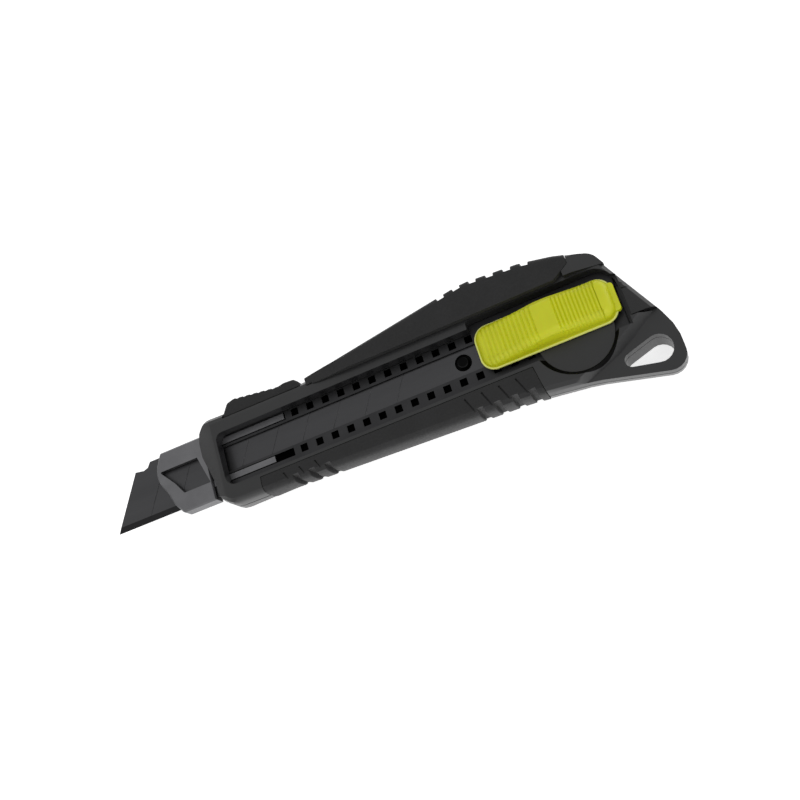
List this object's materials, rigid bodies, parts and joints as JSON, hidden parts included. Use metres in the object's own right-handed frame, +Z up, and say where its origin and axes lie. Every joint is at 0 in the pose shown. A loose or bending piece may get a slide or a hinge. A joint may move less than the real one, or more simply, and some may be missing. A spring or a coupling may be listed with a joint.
{
  "type": "snap off knife",
  "caption": "Snap off utility knife: segmented blade in a steel channel, lime ribbed lock slider, soft ridged grips, metal nose guide and lanyard hole.",
  "frame": {"origin": "middle of the knife's bounding box, on the plane of its back face, with the blade drawn in to its rear stop", "axes": "+X from the blade's tip to the tail, +Y from the cutting edge to the spine, +Z up out of the face that carries the slider"},
  "size_m": [0.1726, 0.0446, 0.0178],
  "materials": {
    "hard_plastic": "charcoal glass-filled nylon with a fine satin texture",
    "soft_grip": "matt black thermoplastic rubber",
    "black_channel": "black phosphated folded steel, satin",
    "black_carrier": "black zinc, satin",
    "nose_metal": "bead-blasted dark grey metal",
    "black_blade": "black oxide with a fine lengthwise grind",
    "lime_plastic": "lime green moulding, soft satin",
    "black_plastic": "black acetal, slight gloss",
    "bright_steel": "zinc plated or spring steel"
  },
  "bodies": {
    "handle": {"front_shell": "hard_plastic", "back_shell": "hard_plastic", "spine_grip": "soft_grip", "thumb_pad": "soft_grip", "belly_grip": "soft_grip", "blade_channel": "black_channel", "front_channel_pin": "bright_steel", "rear_channel_pin": "bright_steel", "nose_guide": "nose_metal", "shell_screw_1": "bright_steel", "shell_screw_2": "bright_steel", "shell_screw_3": "bright_steel", "shell_screw_4": "bright_steel"},
    "carriage": {"blade": "black_blade", "blade_pin": "black_carrier", "blade_carrier": "black_carrier", "button_base": "black_plastic", "lock_spring": "bright_steel", "return_spring": "bright_steel"},
    "lock": {"lock_plate": "bright_steel"},
    "button": {"slider_button": "lime_plastic"},
    "cap": {"end_cap": "black_plastic"}
  },
  "joints": [
    {"name": "blade_slide", "type": "slide", "parent": "handle", "child": "carriage", "axis": [-1, 0, 0], "range_m": [0, 0.06]},
    {"name": "button_shift", "type": "slide", "parent": "carriage", "child": "button", "axis": [1, 0, 0], "range_m": [0, 0.001]},
    {"name": "lock_drop", "type": "slide", "parent": "carriage", "child": "lock", "axis": [0, 0, -1], "range_m": [0, 0.001]},
    {"name": "end_cap_pull", "type": "slide", "parent": "handle", "child": "cap", "axis": [1, 0, 0], "range_m": [0, 0.006]}
  ],
  "couplings": [
    {"joint": "lock_drop", "follows": "button_shift", "ratio": 1}
  ]
}
